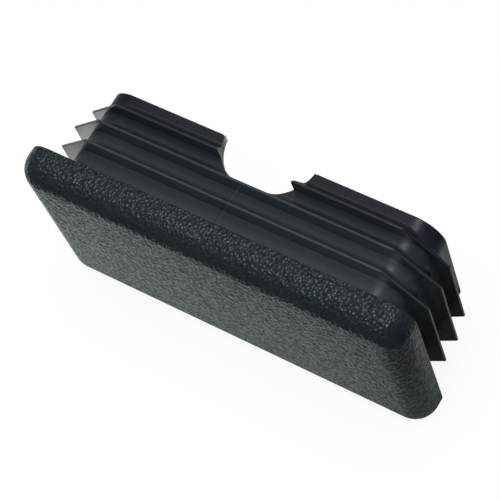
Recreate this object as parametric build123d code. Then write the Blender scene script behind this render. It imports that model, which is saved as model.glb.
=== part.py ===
"""Ribbed end cap for rectangular tube, moulded in one piece.

A pillow-edged head closes the end of the tube. Behind it a hollow skirt carries three thin fins that
run all the way round and grip the bore, and the long walls are notched at the open end so that they
can flex as the cap is driven in.

The cap is modelled standing on its head (outer face on the XY plane, skirt upwards) and laid on one
long side at the end: X runs along the long side, Y from the head to the open end, Z up.
"""

import os
from math import atan2, cos, radians, sin, tan

from build123d import *

# Tube that the cap closes
tube_length = 60.0
tube_width = 30.0
tube_wall = 1.5

# Head
head_thickness = 4.8
head_corner_radius = 3.6
head_edge_rounding = 3.4
head_floor = 3.0

# Skirt
skirt_clearance = 2.35
skirt_height = 13.3
skirt_corner_radius = 4.1
skirt_wall = 1.5
core_draft = 0.8

# Fins
fin_count = 3
fin_first = 3.4
fin_pitch = 3.3
fin_tip_thickness = 0.35
fin_root_thickness = 1.45
fin_grip = 0.55
lead_fin_relief = 0.65
fin_corner_chamfer = 6.0
fin_root_fillet = 0.8

# Notch in each long wall
notch_width = 14.2
notch_corner_radius = 6.4
notch_fin_margin = 0.55
notch_rim_rounding = 0.4

# Derived places
bore_length = tube_length - 2 * tube_wall
bore_width = tube_width - 2 * tube_wall
skirt_length = bore_length - 2 * skirt_clearance
skirt_width = bore_width - 2 * skirt_clearance
cap_height = head_thickness + skirt_height
fillet_embed = skirt_wall / 2


def rounded_outline(length, width, radius):
    """Rectangle with round corners, centred on the axis of the cap."""
    return RectangleRounded(length, width, radius)


def make_head():
    """Solid plate over the end of the tube, its outer edge rounded into the flat face."""
    rounding = min(head_edge_rounding, 0.95 * head_corner_radius, 0.9 * head_thickness)
    plate = extrude(rounded_outline(tube_length, tube_width, head_corner_radius), head_thickness)
    return fillet(plate.faces().sort_by(Axis.Z)[0].edges(), rounding)


def make_skirt():
    """Outside of the skirt, solid until the core is taken out."""
    outline = rounded_outline(skirt_length, skirt_width, skirt_corner_radius)
    return Pos(0, 0, head_thickness) * extrude(outline, skirt_height)


def make_core():
    """Hollow of the skirt, drafted towards its floor inside the head."""
    depth = cap_height - head_floor
    draft = depth * tan(radians(core_draft))
    mouth_radius = max(skirt_corner_radius - skirt_wall, 2 * draft)
    mouth = rounded_outline(skirt_length - 2 * skirt_wall, skirt_width - 2 * skirt_wall, mouth_radius)
    floor = rounded_outline(
        skirt_length - 2 * (skirt_wall + draft),
        skirt_width - 2 * (skirt_wall + draft),
        mouth_radius - draft,
    )
    return loft([Pos(0, 0, head_floor) * floor, Pos(0, 0, cap_height) * mouth], ruled=True)


def fin_level(index):
    """Height of the head side of a fin above the face of the head."""
    return head_thickness + fin_first + index * fin_pitch


def fillet_spread(slope):
    """Reach of the root fillet along the back of a fin, which falls away from the wall at the slope."""
    return fin_root_fillet * (1 - sin(slope))


def make_root_fillet(slope):
    """Concave fillet all round the skirt, where the back of a fin runs into the wall."""
    spread = fillet_spread(slope)
    rise = fin_root_fillet * (1 / cos(slope) - tan(slope)) + spread * tan(slope)
    arc = TangentArc((spread, 0), (0, rise), tangent=(-cos(slope), sin(slope)))
    inside = Polyline((0, rise), (-fillet_embed, rise), (-fillet_embed, 0), (spread, 0))
    station = Plane(origin=(skirt_length / 2, 0, 0), x_dir=(1, 0, 0), z_dir=(0, -1, 0))
    outline = rounded_outline(skirt_length, skirt_width, skirt_corner_radius).face().outer_wire()
    return sweep(station * make_face([arc, inside]), path=outline, transition=Transition.RIGHT)


def make_fin(index):
    """One fin: flat on the head side, its back sloping from the thin tip to the wall, corners cut off."""
    overhang = fin_grip - (lead_fin_relief if index == fin_count - 1 else 0)
    slope = atan2(fin_root_thickness - fin_tip_thickness, skirt_clearance + overhang)
    spread = fillet_spread(slope)
    collar_level = fin_root_thickness - spread * tan(slope)

    tip = Rectangle(bore_length + 2 * overhang, bore_width + 2 * overhang)
    tip = chamfer(tip.vertices(), fin_corner_chamfer)
    radius = skirt_corner_radius + spread
    collar = rounded_outline(skirt_length + 2 * spread, skirt_width + 2 * spread, radius)
    back = loft([Pos(0, 0, fin_tip_thickness) * tip, Pos(0, 0, collar_level) * collar], ruled=True)
    root_fillet = Pos(0, 0, collar_level) * make_root_fillet(slope)
    blade = extrude(tip, fin_tip_thickness) + [back, root_fillet]
    return Pos(0, 0, fin_level(index)) * blade


def make_notch():
    """Cutter for both notches: an arch through the long walls, rooted behind the last whole fin."""
    root = fin_level(fin_count - 2) + fin_tip_thickness + notch_fin_margin
    radius = min(notch_corner_radius, 0.49 * notch_width)
    reach = cap_height - root + radius
    arch = Pos(0, root + reach) * Rectangle(notch_width, 2 * reach)
    arch = fillet(arch.vertices().group_by(Axis.Y)[0], radius)
    return extrude(Plane.XZ * arch, tube_width, both=True)


def make_end_cap():
    """Whole cap, standing on its head."""
    fins = [make_fin(index) for index in range(fin_count)]
    body = make_head() + [make_skirt(), *fins] - [make_core(), make_notch()]
    rim = body.edges().filter_by(Axis.Y).group_by(Axis.Z)[-1]
    return fillet(rim.filter_by_position(Axis.X, -notch_width / 2, notch_width / 2), notch_rim_rounding)


end_cap = Pos(0, -cap_height / 2, tube_width / 2) * Rot(-90, 0, 0) * make_end_cap()

os.makedirs("parts", exist_ok=True)
export_step(end_cap, "parts/end_cap.step")
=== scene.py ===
from math import atan, cos, degrees, pi, radians, sin, sqrt, tan

import bpy
from mathutils import Matrix, Vector


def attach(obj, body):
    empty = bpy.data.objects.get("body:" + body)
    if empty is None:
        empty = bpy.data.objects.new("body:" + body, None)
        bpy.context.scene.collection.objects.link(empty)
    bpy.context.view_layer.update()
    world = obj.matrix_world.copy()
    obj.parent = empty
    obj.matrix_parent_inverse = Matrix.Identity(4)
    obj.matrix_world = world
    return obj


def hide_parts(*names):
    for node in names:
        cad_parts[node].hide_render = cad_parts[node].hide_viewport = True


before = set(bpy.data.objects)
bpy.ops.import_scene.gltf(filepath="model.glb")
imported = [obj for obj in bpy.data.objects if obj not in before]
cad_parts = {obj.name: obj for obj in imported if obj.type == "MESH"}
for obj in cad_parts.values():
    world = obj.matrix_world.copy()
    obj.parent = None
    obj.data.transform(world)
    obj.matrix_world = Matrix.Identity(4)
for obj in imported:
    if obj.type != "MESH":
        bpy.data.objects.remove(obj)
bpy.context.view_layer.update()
millimetre = 0.001
print("frame loaded")


def link(thing):
    bpy.context.scene.collection.objects.link(thing)
    return thing


def addNode(tree, kind, **settings):
    node = tree.nodes.new(kind)
    for name, value in settings.items():
        setattr(node, name, value)
    return node


def feed(tree, node, *values):
    # each value is a number or the output of another node
    for place, value in enumerate(values):
        if isinstance(value, bpy.types.NodeSocket):
            tree.links.new(value, node.inputs[place])
        elif value is not None:
            node.inputs[place].default_value = value
    return node.outputs[0]


def calc(tree, operation, *values):
    return feed(tree, addNode(tree, "ShaderNodeMath", operation=operation), *values)


def mixOf(tree, start, end, share):
    # start + (end - start) * share
    return calc(tree, "MULTIPLY_ADD", calc(tree, "SUBTRACT", end, start), share, start)


def easeOver(tree, value, stretch):
    # the stretch is from and to this value, and then the result at both
    step = addNode(tree, "ShaderNodeMapRange", interpolation_type="SMOOTHSTEP")
    return feed(tree, step, value, *stretch)


def splitPlace(tree, place):
    spot = addNode(tree, "ShaderNodeSeparateXYZ")
    feed(tree, spot, place)
    return spot.outputs


capFinish = {
    "refraction": 1.5,
    # the colour by the head, and a darker one at the open end that is painted shade, and where the one
    # turns
    # into the other: from and to this place in m, with the share of the second at both
    "satinColourAndPaintedShade": ((0.044, 0.057, 0.066, 1.0), (0.007, 0.010, 0.018, 1.0)),
    "satinPaintedShade": (0.001, 0.008, 0.0, 1.0),
    "satinTint": (0.92, 0.97, 1.0, 1.0),
    "satinRoughness": 0.27,
    "seam": (0.00030, 0.00004, 0.0, 0.02),  # m from its middle, and its height in mm at both
    "seamPlace": -0.0014,  # m along the long side
    "axisHeight": 0.015,  # m
    "seamOutside": 0.0109,  # m above or below the axis, past which the seam is
    "seamBehind": -0.0042,  # m, just behind the head, where it starts
    "grainColour": (0.017, 0.025, 0.031, 1.0),
    "grainTint": (0.88, 1.0, 0.94, 1.0),
    "grainRoughness": 0.32,
    "grainReflection": 0.3,
    "grainTurn": 24.7,  # degrees from the short side, the way in which the pits are longer
    "grainStretch": 2.3,
    "pitSpacing": 0.42,  # mm
    "pitDepth": 0.18,  # mm, over a whole spacing
    "pitRoundness": 2.0,  # power of the distance from the middle of a pit
    "pitUnevenness": 0.07,  # mm
    "calmEnds": (0.0262, 0.0292, 1.0, 0.45),  # m from the middle of the long side, and the relief kept
    "gloss": (0.42, 0.56, 0.0, 0.5),  # from and to this part of the pattern, and the weight of the coat
    "glossDetail": 1.0,
}


def makePlastic(name, finish, colour, roughness, tint):
    material = bpy.data.materials.new(name)
    material.use_nodes = True
    shader = material.node_tree.nodes["Principled BSDF"]
    shader.inputs["Base Color"].default_value = colour
    shader.inputs["Roughness"].default_value = roughness
    shader.inputs["IOR"].default_value = finish["refraction"]
    shader.inputs["Specular Tint"].default_value = tint
    return material


def addBump(tree, height):
    # the height is in mm
    bump = addNode(tree, "ShaderNodeBump")
    bump.inputs["Distance"].default_value = millimetre
    tree.links.new(height, bump.inputs["Height"])
    tree.links.new(bump.outputs[0], tree.nodes["Principled BSDF"].inputs["Normal"])
    return bump.outputs[0]


def addPaintedShade(material, finish):
    # painted shade: the base colour darkens towards the open end of the skirt
    tree = material.node_tree
    axes = splitPlace(tree, addNode(tree, "ShaderNodeTexCoord").outputs["Object"])
    share = feed(tree, addNode(tree, "ShaderNodeMapRange"), axes["Y"], *finish["satinPaintedShade"])
    colour = feed(tree, addNode(tree, "ShaderNodeMixRGB"), share, *finish["satinColourAndPaintedShade"])
    tree.links.new(colour, tree.nodes["Principled BSDF"].inputs["Base Color"])


def addSeam(material, finish):
    # thin raised line where the halves of the mould met, up the middle of the long walls
    tree = material.node_tree
    axes = splitPlace(tree, addNode(tree, "ShaderNodeTexCoord").outputs["Object"])
    away = calc(tree, "ABSOLUTE", calc(tree, "SUBTRACT", axes["X"], finish["seamPlace"]))
    line = easeOver(tree, away, finish["seam"])
    fromAxis = calc(tree, "ABSOLUTE", calc(tree, "SUBTRACT", axes["Z"], finish["axisHeight"]))
    outside = calc(tree, "GREATER_THAN", fromAxis, finish["seamOutside"])
    behind = calc(tree, "GREATER_THAN", axes["Y"], finish["seamBehind"])
    addBump(tree, calc(tree, "MULTIPLY", line, calc(tree, "MULTIPLY", outside, behind)))


def addPattern(tree, kind, finish, place):
    pattern = addNode(tree, kind)
    pattern.inputs["Scale"].default_value = 1 / (finish["pitSpacing"] * millimetre)
    tree.links.new(place, pattern.inputs["Vector"])
    return pattern


def addGrain(material, finish):
    # overlapping shallow pits, as spark erosion leaves in the mould, calmer at the two ends
    tree = material.node_tree
    place = addNode(tree, "ShaderNodeTexCoord").outputs["Object"]
    stretched = addNode(tree, "ShaderNodeMapping", vector_type="TEXTURE")
    stretched.inputs["Rotation"].default_value = (0, radians(finish["grainTurn"]), 0)
    stretched.inputs["Scale"].default_value = (1, 1, finish["grainStretch"])
    tree.links.new(place, stretched.inputs["Vector"])
    pits = addPattern(tree, "ShaderNodeTexVoronoi", finish, stretched.outputs[0])
    hollowness = calc(tree, "POWER", pits.outputs["Distance"], finish["pitRoundness"])
    depth = calc(tree, "MULTIPLY", hollowness, finish["pitDepth"])
    uneven = addPattern(tree, "ShaderNodeTexNoise", finish, stretched.outputs[0])
    height = calc(tree, "MULTIPLY_ADD", uneven.outputs[0], finish["pitUnevenness"], depth)
    calm = easeOver(tree, calc(tree, "ABSOLUTE", splitPlace(tree, place)["X"]), finish["calmEnds"])
    relief = addBump(tree, calc(tree, "MULTIPLY", height, calm))
    patches = addPattern(tree, "ShaderNodeTexNoise", finish, stretched.outputs[0])
    patches.inputs["Detail"].default_value = finish["glossDetail"]
    shader = tree.nodes["Principled BSDF"]
    tree.links.new(easeOver(tree, patches.outputs[0], finish["gloss"]), shader.inputs["Coat Weight"])
    tree.links.new(relief, shader.inputs["Coat Normal"])
    shader.inputs["Coat Roughness"].default_value = finish["grainRoughness"]
    shader.inputs["Specular IOR Level"].default_value = finish["grainReflection"]


satinPlastic = makePlastic(
    "satinPlastic", capFinish, capFinish["satinColourAndPaintedShade"][0],
    capFinish["satinRoughness"], capFinish["satinTint"],
)
addPaintedShade(satinPlastic, capFinish)
addSeam(satinPlastic, capFinish)
grainedPlastic = makePlastic(
    "grainedPlastic", capFinish, capFinish["grainColour"],
    capFinish["grainRoughness"], capFinish["grainTint"],
)
addGrain(grainedPlastic, capFinish)
print("plastics mixed")


capSizes = {  # mm
    "tubeLength": 60.0,
    "tubeWidth": 30.0,
    "headThickness": 4.8,
    "headCorner": 3.6,
    "headRounding": 3.4,
    "headFloor": 3.0,
    "backEdge": 0.15,  # small rounding behind the head
    "skirtInset": 3.85,
    "skirtHeight": 13.3,
    "skirtCorner": 4.1,
    "skirtWall": 1.5,
    "skirtFoot": 0.35,  # fillet where the skirt leaves the head
    "rimEdge": 0.12,
    "coreTaper": 0.21,
    "coreFloorFillet": 0.5,
    "finLevels": (8.2, 11.5, 14.8),
    "finReaches": (2.9, 2.9, 2.25),  # from the wall of the skirt
    "finTip": 0.35,
    "finRoot": 1.45,
    "finBack": 0.8,  # fillet at the foot of the sloping back
    "finEdge": 0.1,
    "finCorner": 6.0,
    "notchWidth": 14.2,
    "notchCorner": 6.4,
    "notchFloor": 12.4,
    "notchRim": 0.4,
    "cutterExcess": 1.0,  # how far the cutter of the notches runs past the cap
    "guard": 0.1,  # from a rounding to the next ring, which keeps the flat part flat
    "faceGuard": 0.12,  # the same inside the rounding of the face
    "backShares": (0.94, 0.5, 0.06),  # rings on the back of a fin, from the tip to its foot
    "cornerSteps": 14,
    "sideSteps": 16,
    "arcSteps": {
        "head": 12, "edge": 3, "skirtFoot": 4, "finBack": 6, "coreFloor": 5, "notch": 24, "notchRim": 6,
    },
    "sharpAngle": 35.0,  # degrees
}


def arcPoints(radius, start, end, steps):
    # points of an arc round (0, 0), angles in degrees
    angles = [radians(start + (end - start) * step / steps) for step in range(steps + 1)]
    return [(radius * cos(angle), radius * sin(angle)) for angle in angles]


def roundRow(inset, corner, level, grained=0.0):
    # the last six say where the octagon of a fin's tip is, and how its back falls away from it
    return {
        "inset": inset, "corner": corner, "level": level, "grained": grained,
        "tipShare": 0.0, "tipInset": 0.0, "tipCut": 1.0,
        "backSlope": 0.0, "backReach": 0.0, "backOut": 0.0,
    }


def headRows(sizes):
    rounding, thick, corner = sizes["headRounding"], sizes["headThickness"], sizes["headCorner"]
    back, foot, inset, guard = sizes["backEdge"], sizes["skirtFoot"], sizes["skirtInset"], sizes["guard"]
    steps = sizes["arcSteps"]
    flat = rounding + sizes["faceGuard"]
    rows = [roundRow(sizes["tubeWidth"] / 2, 0, 0, 1.0), roundRow(flat, corner - flat, 0, 1.0)]
    for across, along in arcPoints(rounding, 90, 0, steps["head"]):
        rows.append(roundRow(rounding - across, corner - rounding + across, rounding - along, 1.0))
    rows.append(roundRow(0, corner, rounding + guard, 1.0))
    for across, along in arcPoints(back, 0, 90, steps["edge"]):
        rows.append(roundRow(back - across, corner - back + across, thick - back + along, 1.0))
    rows.append(roundRow(back + guard, corner - back - guard, thick))
    footCorner = sizes["skirtCorner"] + foot
    rows.append(roundRow(inset - foot - guard, footCorner + guard, thick))
    for across, along in arcPoints(foot, 90, 0, steps["skirtFoot"]):
        rows.append(roundRow(inset - foot + across, footCorner - across, thick + foot - along))
    return rows


def wallRow(sizes, out, level):
    # on the skirt, or at a distance outside it
    return roundRow(sizes["skirtInset"] - out, sizes["skirtCorner"] + out, level)


def tipRow(sizes, overhang, edge, level):
    row = wallRow(sizes, 0, level)
    inset = sizes["skirtInset"] - overhang + edge
    row.update({"tipShare": 1.0, "tipInset": inset, "tipCut": sizes["finCorner"] - edge * (2 - sqrt(2))})
    return row


def finRows(sizes, level, reach):
    back, edge, tip = sizes["finBack"], sizes["finEdge"], sizes["finTip"]
    guard, steps = sizes["guard"], sizes["arcSteps"]
    slope = atan((sizes["finRoot"] - tip) / reach)
    rows = [wallRow(sizes, 0, level - guard), wallRow(sizes, 0, level), wallRow(sizes, guard, level)]
    rows.append(tipRow(sizes, reach, edge + guard, level))
    for across, along in arcPoints(edge, 90, 0, steps["edge"]):
        rows.append(tipRow(sizes, reach, edge - across, level + edge - along))
    landEnd = tip - edge * tan((radians(90) - slope) / 2)
    turned = 90 - degrees(slope)
    for across, along in arcPoints(edge, 0, turned, steps["edge"]):
        rows.append(tipRow(sizes, reach, edge - across, level + landEnd + along))
    spread = back * (1 - sin(slope))
    collar = sizes["finRoot"] - spread * tan(slope)
    foot = collar + back * cos(slope)
    backRows = []
    for share in sizes["backShares"]:
        backRows.append((share, wallRow(sizes, spread, level + collar + (tip - collar) * share)))
    for across, along in arcPoints(back, turned, 0, steps["finBack"]):
        backRows.append((0.0, wallRow(sizes, back - across, level + foot - along)))
    for share, row in backRows:
        row.update({
            "tipShare": share, "tipInset": sizes["skirtInset"] - reach, "tipCut": sizes["finCorner"],
            "backSlope": tan(slope), "backReach": (1 - share) * (reach - spread),
            "backOut": row["inset"] - sizes["skirtInset"] + spread,
        })
        rows.append(row)
    rows.append(wallRow(sizes, 0, level + foot + guard))
    return rows


def hollowRows(sizes):
    top = sizes["headThickness"] + sizes["skirtHeight"]
    edge, wall, fillet = sizes["rimEdge"], sizes["skirtWall"], sizes["coreFloorFillet"]
    guard, steps = sizes["guard"], sizes["arcSteps"]
    rows = [wallRow(sizes, 0, top - edge - guard)]
    for across, along in arcPoints(edge, 0, 90, steps["edge"]):
        rows.append(wallRow(sizes, across - edge, top - edge + along))
    for across, along in arcPoints(edge, 90, 180, steps["edge"]):
        rows.append(wallRow(sizes, across + edge - wall, top - edge + along))
    rows.append(wallRow(sizes, -wall, top - edge - guard))
    floor, taper = sizes["headFloor"], sizes["coreTaper"]
    atFillet = -wall - taper * (top - floor - fillet) / (top - floor)
    rows.append(wallRow(sizes, atFillet, floor + fillet + guard))
    for across, along in arcPoints(fillet, 0, -90, steps["coreFloor"]):
        rows.append(wallRow(sizes, atFillet - fillet + across, floor + fillet + along))
    rows.append(wallRow(sizes, atFillet - fillet - guard, floor))
    rows.append(roundRow(sizes["tubeWidth"] / 2, 0, floor))
    return rows


def makeSection(sizes):
    # one vertex for each ring of the cap, from the face of the head round to the floor of the hollow
    rows = headRows(sizes)
    for level, reach in zip(sizes["finLevels"], sizes["finReaches"]):
        rows += finRows(sizes, level, reach)
    rows += hollowRows(sizes)
    mesh = bpy.data.meshes.new("capSection")
    mesh.from_pydata([(row["inset"], row["level"], 0) for row in rows], [], [])
    for name in rows[0]:
        values = mesh.attributes.new(name, "FLOAT", "POINT").data
        values.foreach_set("value", [row[name] for row in rows])
    return link(bpy.data.objects.new("capSection", mesh))


def makeNotchCutter(sizes):
    # arch through both long walls, in mm, its sides flared at the rim
    half, corner, rim = sizes["notchWidth"] / 2, sizes["notchCorner"], sizes["notchRim"]
    top, excess = sizes["headThickness"] + sizes["skirtHeight"], sizes["cutterExcess"]
    right = []
    for x, y in arcPoints(corner, -90, 0, sizes["arcSteps"]["notch"]):
        right.append((half - corner + x, sizes["notchFloor"] + corner + y))
    for x, y in arcPoints(rim, 180, 90, sizes["arcSteps"]["notchRim"]):
        right.append((half + rim + x, top - rim + y))
    right.append((half + rim, top + excess))
    outline = right + [(-x, y) for x, y in reversed(right)]
    count = len(outline)
    corners = [(x, y - top / 2, z) for z in (-excess, sizes["tubeWidth"] + excess) for x, y in outline]
    sides = [(i, (i + 1) % count, count + (i + 1) % count, count + i) for i in range(count)]
    ends = [tuple(reversed(range(count))), tuple(range(count, 2 * count))]
    mesh = bpy.data.meshes.new("notchCutter")
    mesh.from_pydata(corners, [], sides + ends)
    mesh.materials.append(satinPlastic)
    return link(bpy.data.objects.new("notchCutter", mesh))


def addSockets(tree):
    for name, kind in (
        ("Section", "Geometry"),
        ("Half Length", "Float"), ("Half Width", "Float"), ("Half Depth", "Float"),
        ("Corner Steps", "Int"), ("Side Steps", "Int"), ("Notch Cutter", "Object"),
        ("Skirt Plastic", "Material"), ("Head Plastic", "Material"),
    ):
        tree.interface.new_socket(name, in_out="INPUT", socket_type=f"NodeSocket{kind}")
    tree.interface.new_socket("Cap", in_out="OUTPUT", socket_type="NodeSocketGeometry")


def readAttribute(tree, name):
    value = addNode(tree, "GeometryNodeInputNamedAttribute", data_type="FLOAT")
    value.inputs["Name"].default_value = name
    return value.outputs[0]


def goRound(tree, way, steps, cornerSteps):
    # each quarter of the way round is a corner arc and then a straight side
    quarter = calc(tree, "FLOOR", way)
    along = calc(tree, "SUBTRACT", way, quarter)
    cornerPart = calc(tree, "DIVIDE", cornerSteps, steps)
    arcShare = calc(tree, "MINIMUM", calc(tree, "DIVIDE", along, cornerPart), 1.0)
    sidePart = calc(tree, "SUBTRACT", 1.0, cornerPart)
    beyond = calc(tree, "DIVIDE", calc(tree, "SUBTRACT", along, cornerPart), sidePart)
    start = calc(tree, "MULTIPLY", quarter, pi / 2)
    return start, arcShare, calc(tree, "MAXIMUM", beyond, 0.0)


def placeRings(tree, given, ring, start, arcShare, sideShare):
    end = calc(tree, "ADD", start, pi / 2)
    turned = calc(tree, "MULTIPLY_ADD", arcShare, pi / 2, start)
    backCorner = calc(tree, "ADD", ring["corner"], ring["backOut"])
    places, backPlaces, tipHalves = [], [], []
    for wave, half in (("COSINE", given["Half Length"]), ("SINE", given["Half Width"])):
        diagonals = [calc(tree, wave, calc(tree, "ADD", angle, pi / 4)) for angle in (start, end)]
        middle = calc(tree, "MULTIPLY", mixOf(tree, *diagonals, sideShare), sqrt(2))
        arc = calc(tree, wave, turned)
        cut = mixOf(tree, calc(tree, wave, start), calc(tree, wave, end), arcShare)
        roundHalf = calc(tree, "SUBTRACT", calc(tree, "SUBTRACT", half, ring["inset"]), ring["corner"])
        tipHalves.append(calc(tree, "SUBTRACT", half, ring["tipInset"]))
        tipHalf = calc(tree, "SUBTRACT", tipHalves[-1], ring["tipCut"])
        onTip = calc(tree, "MULTIPLY_ADD", middle, tipHalf, calc(tree, "MULTIPLY", cut, ring["tipCut"]))
        for kept, corner in ((places, ring["corner"]), (backPlaces, backCorner)):
            onRound = calc(tree, "MULTIPLY_ADD", middle, roundHalf, calc(tree, "MULTIPLY", arc, corner))
            kept.append(mixOf(tree, onRound, onTip, ring["tipShare"]))

    # the back of a fin keeps one slope, also behind its cut corners
    gaps = []
    for tipEnd, place in zip(tipHalves, backPlaces):
        gaps.append(calc(tree, "SUBTRACT", tipEnd, calc(tree, "ABSOLUTE", place)))
    cutGap = calc(tree, "SUBTRACT", calc(tree, "ADD", *gaps), ring["tipCut"])
    cutGap = calc(tree, "MULTIPLY", cutGap, sqrt(0.5))
    nearest = calc(tree, "MINIMUM", calc(tree, "MINIMUM", *gaps), cutGap)
    beyondReach = calc(tree, "SUBTRACT", nearest, ring["backReach"])
    level = calc(tree, "MULTIPLY_ADD", beyondReach, ring["backSlope"], ring["level"])
    depth = calc(tree, "SUBTRACT", level, given["Half Depth"])
    height = calc(tree, "ADD", places[1], given["Half Width"])
    return feed(tree, addNode(tree, "ShaderNodeCombineXYZ"), places[0], depth, height)


def cutNotches(tree, shell, cutter):
    # the shell comes in mm and leaves in metres
    placed = addNode(tree, "GeometryNodeObjectInfo", transform_space="ORIGINAL")
    tree.links.new(cutter, placed.inputs["Object"])
    notched = addNode(tree, "GeometryNodeMeshBoolean", operation="DIFFERENCE", solver="EXACT")
    feed(tree, notched, shell, placed.outputs["Geometry"])
    sized = addNode(tree, "GeometryNodeTransform")
    sized.inputs["Scale"].default_value = (millimetre, millimetre, millimetre)
    return feed(tree, sized, notched.outputs[0])


def makeCapTree():
    # turns the section into rings round the cap, cuts the notches and gives both finishes
    tree = bpy.data.node_groups.new("ringedCap", "GeometryNodeTree")
    addSockets(tree)
    given = addNode(tree, "NodeGroupInput").outputs
    rowCount = feed(tree, addNode(tree, "GeometryNodeAttributeDomainSize"), given["Section"])
    steps = calc(tree, "ADD", given["Corner Steps"], given["Side Steps"])
    columnCount = calc(tree, "MULTIPLY_ADD", steps, 4.0, 1.0)
    grid = feed(tree, addNode(tree, "GeometryNodeMeshGrid"), 1.0, 1.0, columnCount, rowCount)
    index = addNode(tree, "GeometryNodeInputIndex").outputs[0]
    column = calc(tree, "FLOOR", calc(tree, "DIVIDE", calc(tree, "ADD", index, 0.5), rowCount))
    row = calc(tree, "SUBTRACT", index, calc(tree, "MULTIPLY", column, rowCount))
    ring = {}
    for name in roundRow(0, 0, 0):
        sample = addNode(tree, "GeometryNodeSampleIndex")
        ring[name] = feed(tree, sample, given["Section"], readAttribute(tree, name), row)
    way = calc(tree, "DIVIDE", column, steps)
    start, arcShare, sideShare = goRound(tree, way, steps, given["Corner Steps"])
    position = placeRings(tree, given, ring, start, arcShare, sideShare)
    shell = feed(tree, addNode(tree, "GeometryNodeSetPosition"), grid, None, position)
    marked = addNode(tree, "GeometryNodeStoreNamedAttribute", data_type="FLOAT", domain="POINT")
    shell = feed(tree, marked, shell, None, "grained", ring["grained"])
    closeBy = 0.001  # mm
    shell = feed(tree, addNode(tree, "GeometryNodeMergeByDistance"), shell, None, closeBy)
    sized = cutNotches(tree, shell, given["Notch Cutter"])
    whole = feed(tree, addNode(tree, "GeometryNodeRealizeInstances"), sized)
    skirt = addNode(tree, "GeometryNodeSetMaterial")
    tree.links.new(given["Skirt Plastic"], skirt.inputs["Material"])
    head = addNode(tree, "GeometryNodeSetMaterial")
    tree.links.new(given["Head Plastic"], head.inputs["Material"])
    mostly = 0.75  # a face of the head has more than this share of grain
    onHead = calc(tree, "GREATER_THAN", readAttribute(tree, "grained"), mostly)
    finished = feed(tree, head, feed(tree, skirt, whole), onHead)
    tree.links.new(finished, addNode(tree, "NodeGroupOutput").inputs[0])
    return tree


def makeCap(sizes):
    section, cutter = makeSection(sizes), makeNotchCutter(sizes)
    tree = makeCapTree()
    settings = {
        "Half Length": sizes["tubeLength"] / 2,
        "Half Width": sizes["tubeWidth"] / 2,
        "Half Depth": (sizes["headThickness"] + sizes["skirtHeight"]) / 2,
        "Corner Steps": sizes["cornerSteps"],
        "Side Steps": sizes["sideSteps"],
        "Notch Cutter": cutter,
        "Skirt Plastic": satinPlastic,
        "Head Plastic": grainedPlastic,
    }
    rings = section.modifiers.new("ringedCap", "NODES")
    rings.node_group = tree
    for socket in tree.interface.items_tree:
        if socket.name in settings:
            rings[socket.identifier] = settings[socket.name]
    built = section.evaluated_get(bpy.context.evaluated_depsgraph_get())
    mesh = bpy.data.meshes.new_from_object(built)
    section.modifiers.remove(rings)
    for used in (section, cutter):
        bpy.data.objects.remove(used)
    mesh.name = "mouldedCap"
    for place in reversed(range(len(mesh.materials))):
        if mesh.materials[place] is None:
            mesh.materials.pop(index=place)
    mesh.polygons.foreach_set("use_smooth", [True] * len(mesh.polygons))
    mesh.set_sharp_from_angle(angle=radians(sizes["sharpAngle"]))
    return link(bpy.data.objects.new("mouldedCap", mesh))


mouldedCap = makeCap(capSizes)
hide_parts("end_cap")
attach(mouldedCap, "root")
print("cap moulded:", len(mouldedCap.data.polygons), "faces")


studio = {
    "floorSize": 3.0,
    "floorGlow": (0.56, 0.985),  # in reflections and to the camera, the rest is light that falls on it
    "floorBounce": 0.25,
    "floorShade": 0.03,
    "floorGap": 14.0,  # mm, how far from the cap the glow fades in, a painted contact shadow
    "gapSamples": 8,
    "floorFade": 0.06,  # how strongly, to the camera
    # the floor as it is mirrored, which the camera doesn't see, tinted and with painted shade and a
    # painted shadow
    "floorDark": (0.2, 0.62, 0.0, 1.0),  # from and to this openness, and the brightness at both
    "floorTint": (0.89, 1.0, 0.96, 1.0),
    "floorFall": -6.0,  # change of brightness to the right, over a metre
    "floorFallEnds": (0.5, 1.3),  # its least and most brightness
    "frontFade": (-0.029, -0.014, 0.12, 1.0),  # from and to this place in front, and the brightness
    "backFade": (0.010, 0.035, 1.0, 0.35),  # the same behind
    "paintedShadowPlace": (0.043, -0.021, 0.0),  # middle of a painted shadow beside the head, in reflections
    "paintedShadowReach": (0.010, 0.030, 0.3, 1.0),  # from and to this distance, and the brightness at both
    "skyAxis": (0.09, -0.05, 1.0),
    # cosine of the angle from the axis, and the brightness
    "skyStops": ((0.5, 0.16), (0.75, 0.20), (0.85, 0.33), (0.93, 0.65)),
    "lamps": (  # in m, and mirrored in the cap or not
        {"name": "topBox", "towards": (0.084, 0.282, 0.955), "distance": 0.6,
         "size": 0.19, "brightness": 2.6, "mirrored": True},
        {"name": "keyBox", "towards": (0.02, -0.22, 0.97), "distance": 0.7,
         "size": 0.32, "brightness": 4.6, "mirrored": True},
        {"name": "backBox", "towards": (-0.37, 0.57, 0.73), "distance": 0.7,
         "size": 0.30, "brightness": 0.65, "mirrored": True},
        {"name": "frontBox", "towards": (0.0, -0.7, 0.71), "distance": 0.7,
         "size": 0.30, "brightness": 2.0, "mirrored": False},
    ),
    # brightness and corners in mm
    "cards": (
        # painted shade in reflections: dark in front of the head, under the skirt and to the right
        (0.09, ((-220, -32, 0), (100, -32, 0), (100, -32, 40), (-220, -32, 40))),
        (0.05, ((-27, -6, 0.1), (31, -6, 0.1), (31, 12, 0.1), (-27, 12, 0.1))),
        (0.02, ((46, -60, 0), (46, -2, 0), (46, -2, 90), (46, -60, 90))),
        # painted highlights in reflections: bright beside the left end and behind the notches
        (1.8, ((-42, -8, 0.1), (-36, -8, 0.1), (-36, 2, 0.1), (-42, 2, 0.1))),
        (6.0, ((0, 11, 0.1), (12, 11, 0.1), (12, 22, 0.1), (0, 22, 0.1))),
    ),
}


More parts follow.
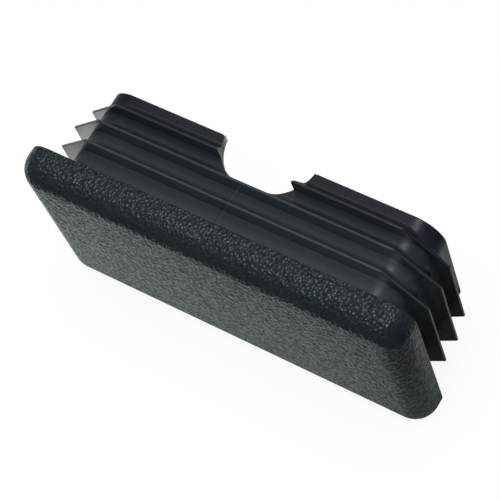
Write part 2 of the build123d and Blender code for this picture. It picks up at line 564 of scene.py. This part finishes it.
def plainSheet(name, corners, material):
    mesh = bpy.data.meshes.new(name)
    mesh.from_pydata(corners, [], [(0, 1, 2, 3)])
    mesh.materials.append(material)
    sheet = link(bpy.data.objects.new(name, mesh))
    return sheet


def greyDiffuse(tree, brightness):
    paper = addNode(tree, "ShaderNodeBsdfDiffuse")
    paper.inputs["Color"].default_value = [brightness] * 3 + [1]
    return paper.outputs[0]


def mirroredGlowAndShade(tree, sizes, openness):
    # brightness of the floor in reflections, with painted shade near the cap, to the right, in front,
    # behind and in a painted shadow beside the head
    place = addNode(tree, "ShaderNodeTexCoord").outputs["Object"]
    axes = splitPlace(tree, place)
    away = addNode(tree, "ShaderNodeVectorMath", operation="DISTANCE")
    tree.links.new(place, away.inputs[0])
    away.inputs[1].default_value = sizes["paintedShadowPlace"]
    least, most = sizes["floorFallEnds"]
    fallen = calc(tree, "MINIMUM", calc(tree, "MULTIPLY_ADD", axes["X"], sizes["floorFall"], 1.0), most)
    glow = calc(tree, "MULTIPLY", calc(tree, "MAXIMUM", fallen, least), sizes["floorGlow"][0])
    for name, measure in (
        ("floorDark", openness), ("frontFade", axes["Y"]), ("backFade", axes["Y"]),
        ("paintedShadowReach", away.outputs["Value"]),
    ):
        glow = calc(tree, "MULTIPLY", glow, easeOver(tree, measure, sizes[name]))
    return glow


def makeFloorPaper(sizes):
    material = bpy.data.materials.new("floorPaper")
    material.use_nodes = True
    tree = material.node_tree
    tree.nodes.clear()
    path = addNode(tree, "ShaderNodeLightPath").outputs
    nearby = addNode(tree, "ShaderNodeAmbientOcclusion", samples=sizes["gapSamples"])
    nearby.inputs["Distance"].default_value = sizes["floorGap"] * millimetre
    openness, toCamera = nearby.outputs["AO"], path["Is Camera Ray"]
    # to the camera the glow dims where the cap closes the floor in: a painted shadow
    seenGlow = calc(tree, "POWER", openness, sizes["floorFade"])
    seenGlow = calc(tree, "MULTIPLY", seenGlow, sizes["floorGlow"][1])
    brightness = mixOf(tree, mirroredGlowAndShade(tree, sizes, openness), seenGlow, toCamera)
    tint = feed(tree, addNode(tree, "ShaderNodeMixRGB"), toCamera, sizes["floorTint"], (1, 1, 1, 1))
    glow = feed(tree, addNode(tree, "ShaderNodeEmission"), tint, brightness)
    shade = greyDiffuse(tree, sizes["floorShade"])
    white = feed(tree, addNode(tree, "ShaderNodeAddShader"), shade, glow)
    seen = calc(tree, "ADD", toCamera, path["Is Glossy Ray"])
    seen = calc(tree, "MINIMUM", calc(tree, "ADD", seen, path["Is Transmission Ray"]), 1.0)
    lit = greyDiffuse(tree, sizes["floorBounce"])
    surface = feed(tree, addNode(tree, "ShaderNodeMixShader"), seen, lit, white)
    tree.links.new(surface, addNode(tree, "ShaderNodeOutputMaterial").inputs["Surface"])
    return material


def makeFloor(sizes):
    half = sizes["floorSize"] / 2
    corners = [(-half, -half, 0), (half, -half, 0), (half, half, 0), (-half, half, 0)]
    plainSheet("floor", corners, makeFloorPaper(sizes))


def makePaintedReflections(sizes):
    # glowing cards seen only in reflections in the head, the fins and the notches, not by the camera:
    # painted shade and painted highlights
    for number, (brightness, corners) in enumerate(sizes["cards"]):
        material = bpy.data.materials.new(f"paintedReflectionSheet{number + 1}")
        material.use_nodes = True
        tree = material.node_tree
        tree.nodes.clear()
        glow = feed(tree, addNode(tree, "ShaderNodeEmission"), None, brightness)
        tree.links.new(glow, addNode(tree, "ShaderNodeOutputMaterial").inputs["Surface"])
        card = plainSheet(f"card{number + 1}", [Vector(c) * millimetre for c in corners], material)
        card.visible_camera = False
        card.visible_shadow = False
        card.visible_diffuse = False


def makeSky(sizes):
    # brightest overhead, and plain white where the camera sees past the end of the floor
    world = bpy.data.worlds.new("studioSky")
    bpy.context.scene.world = world
    world.use_nodes = True
    tree = world.node_tree
    dot = addNode(tree, "ShaderNodeVectorMath", operation="DOT_PRODUCT")
    tree.links.new(addNode(tree, "ShaderNodeTexCoord").outputs["Generated"], dot.inputs[0])
    dot.inputs[1].default_value = Vector(sizes["skyAxis"]).normalized()
    ramp = addNode(tree, "ShaderNodeValToRGB")
    stops = ramp.color_ramp.elements
    brightest = sizes["skyStops"][-1][1]
    for number, (cosine, brightness) in enumerate(sizes["skyStops"]):
        stop = stops[number] if number < 2 else stops.new(cosine)
        stop.position = cosine
        stop.color = [brightness / brightest] * 3 + [1]
    lit = feed(tree, tree.nodes["Background"], feed(tree, ramp, dot.outputs["Value"]), brightest)
    blank = feed(tree, addNode(tree, "ShaderNodeBackground"), (1, 1, 1, 1))
    toCamera = addNode(tree, "ShaderNodeLightPath").outputs["Is Camera Ray"]
    sky = feed(tree, addNode(tree, "ShaderNodeMixShader"), toCamera, lit, blank)
    tree.links.new(sky, tree.nodes["World Output"].inputs["Surface"])


def makeLamp(place):
    side = place["size"]
    data = bpy.data.lights.new(place["name"], "AREA")
    data.shape = "SQUARE"
    data.size = side
    data.energy = place["brightness"] * pi * side * side
    lamp = link(bpy.data.objects.new(place["name"], data))
    towards = Vector(place["towards"]).normalized()
    lamp.location = towards * place["distance"]
    lamp.rotation_euler = towards.to_track_quat("Z", "Y").to_euler()
    lamp.visible_glossy = place["mirrored"]


makeFloor(studio)
makePaintedReflections(studio)
makeSky(studio)
for place in studio["lamps"]:
    makeLamp(place)


cameraPlace = {
    "azimuth": 54.16,  # degrees, 0 looks along +Y
    "elevation": 60.41,
    "roll": -25.94,
    "distance": 264.52,  # mm to the target
    "target": (3.24, -3.05, 22.47),
    "lens": 145.07,
    "clipStart": 0.01,  # m
}


def makeCamera(place):
    azimuth, elevation, roll = (radians(place[name]) for name in ("azimuth", "elevation", "roll"))
    towards = Vector((cos(elevation) * sin(azimuth), -cos(elevation) * cos(azimuth), sin(elevation)))
    level = (-towards).cross(Vector((0, 0, 1))).normalized()
    upright = level.cross(-towards)
    right = cos(roll) * level + sin(roll) * upright
    up = -sin(roll) * level + cos(roll) * upright
    data = bpy.data.cameras.new("camera")
    data.lens = place["lens"]
    data.clip_start = place["clipStart"]
    camera = link(bpy.data.objects.new("camera", data))
    turned = Matrix((right, up, towards)).transposed().to_4x4()
    eye = (Vector(place["target"]) + place["distance"] * towards) * millimetre
    camera.matrix_world = Matrix.Translation(eye) @ turned
    bpy.context.scene.camera = camera


makeCamera(cameraPlace)
bpy.context.scene.view_settings.view_transform = "Standard"
print("studio ready")
